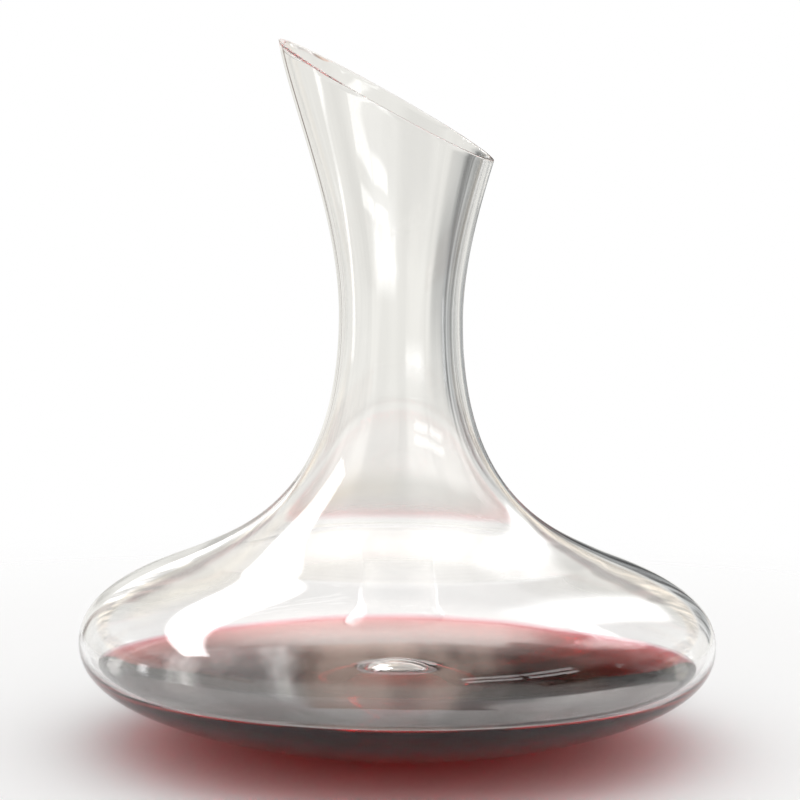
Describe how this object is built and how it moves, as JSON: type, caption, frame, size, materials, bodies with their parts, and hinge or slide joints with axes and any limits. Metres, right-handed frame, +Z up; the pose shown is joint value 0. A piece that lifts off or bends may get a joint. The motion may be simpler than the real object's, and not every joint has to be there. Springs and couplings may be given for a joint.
{
  "type": "wine decanter",
  "caption": "Wide-based clear glass wine decanter with a slender flared neck and a slanting pouring rim, holding red wine in its bowl.",
  "frame": {"origin": "centre of the foot ring on the surface the vessel stands on, on the vessel's axis", "axes": "+Z up along the axis of the vessel; -X towards the pouring lip, the highest point of the slanting rim"},
  "size_m": [0.22, 0.22, 0.2437],
  "materials": {
    "clear_glass": "clear, colourless, blown and fire-polished",
    "wine": "deep red liquid, level and glossy"
  },
  "bodies": {
    "root": {"glass_vessel": "clear_glass", "red_wine": "wine"}
  },
  "joints": []
}
